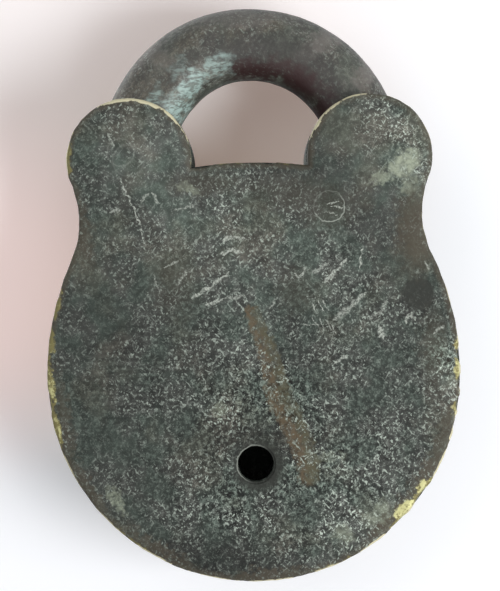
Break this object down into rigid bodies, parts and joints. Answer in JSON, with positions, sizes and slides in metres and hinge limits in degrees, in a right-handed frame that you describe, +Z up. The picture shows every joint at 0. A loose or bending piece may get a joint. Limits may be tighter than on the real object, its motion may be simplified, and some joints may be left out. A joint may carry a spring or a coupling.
{
  "type": "lever padlock",
  "caption": "Round brass lever padlock with two ears, a thick hinged shackle, sliding bolt, lever pack and a swinging keyhole cover.",
  "frame": {"origin": "on the key's axis, where the key's nose hole meets the outer face of the back plate", "axes": "+Z up as the lock hangs, +Y from the back plate to the front, +X to the right as seen from the back"},
  "size_m": [0.076, 0.0263, 0.1067],
  "materials": {
    "case_brass": "dark grey-green patina with worn brass edges",
    "forged_iron": "dark worn forging",
    "rivet_brass": "patinated, filed flush",
    "cover_brass": "rubbed patina",
    "bolt_brass": "dull machined",
    "lever_brass": "dull stamped",
    "post_steel": "turned",
    "spring_steel": "blued strip"
  },
  "bodies": {
    "case": {"case_front": "case_brass", "back_plate": "case_brass", "shackle_rivet": "rivet_brass", "hinge_washers": "lever_brass", "toe_rivet": "rivet_brass", "flank_rivet": "rivet_brass", "plate_rivets": "rivet_brass", "bolt_guide_post": "post_steel", "lever_pivot_post": "post_steel", "lever_spacer": "lever_brass", "lever_stop_post": "post_steel", "cover_pin": "cover_brass"},
    "shackle": {"shackle": "forged_iron"},
    "bolt": {"bolt": "bolt_brass", "bolt_fence": "post_steel"},
    "cover": {"keyhole_cover": "cover_brass"},
    "lever_1": {"lever_1": "lever_brass", "lever_spring_1": "spring_steel"},
    "lever_2": {"lever_2": "lever_brass", "lever_spring_2": "spring_steel"},
    "lever_3": {"lever_3": "lever_brass", "lever_spring_3": "spring_steel"},
    "lever_4": {"lever_4": "lever_brass", "lever_spring_4": "spring_steel"},
    "lever_5": {"lever_5": "lever_brass", "lever_spring_5": "spring_steel"}
  },
  "joints": [
    {"name": "shackle_swing", "type": "hinge", "parent": "case", "child": "shackle", "pos_m": [-0.0221, 0.011, 0.056], "axis": [0, -1, 0], "range_deg": [0, 95]},
    {"name": "bolt_throw", "type": "slide", "parent": "case", "child": "bolt", "axis": [1, 0, 0], "range_m": [0, 0.005]},
    {"name": "cover_swing", "type": "hinge", "parent": "case", "child": "cover", "pos_m": [0, 0.0233, 0.018], "axis": [0, 1, 0], "continuous": true},
    {"name": "lever_1_fall", "type": "hinge", "parent": "case", "child": "lever_1", "pos_m": [-0.0221, 0, 0.04029], "axis": [0, 1, 0], "range_deg": [0, 10], "deforming": ["lever_spring_1"]},
    {"name": "lever_2_fall", "type": "hinge", "parent": "case", "child": "lever_2", "pos_m": [-0.0221, 0, 0.04029], "axis": [0, 1, 0], "range_deg": [0, 10], "deforming": ["lever_spring_2"]},
    {"name": "lever_3_fall", "type": "hinge", "parent": "case", "child": "lever_3", "pos_m": [-0.0221, 0, 0.04029], "axis": [0, 1, 0], "range_deg": [0, 10], "deforming": ["lever_spring_3"]},
    {"name": "lever_4_fall", "type": "hinge", "parent": "case", "child": "lever_4", "pos_m": [-0.0221, 0, 0.04029], "axis": [0, 1, 0], "range_deg": [0, 10], "deforming": ["lever_spring_4"]},
    {"name": "lever_5_fall", "type": "hinge", "parent": "case", "child": "lever_5", "pos_m": [-0.0221, 0, 0.04029], "axis": [0, 1, 0], "range_deg": [0, 10], "deforming": ["lever_spring_5"]}
  ],
  "couplings": [
    {"joint": "lever_1_fall", "follows": "bolt_throw", "rad_per_m": 34.9},
    {"joint": "lever_2_fall", "follows": "bolt_throw", "rad_per_m": 34.9},
    {"joint": "lever_3_fall", "follows": "bolt_throw", "rad_per_m": 34.9},
    {"joint": "lever_4_fall", "follows": "bolt_throw", "rad_per_m": 34.9},
    {"joint": "lever_5_fall", "follows": "bolt_throw", "rad_per_m": 34.9}
  ]
}
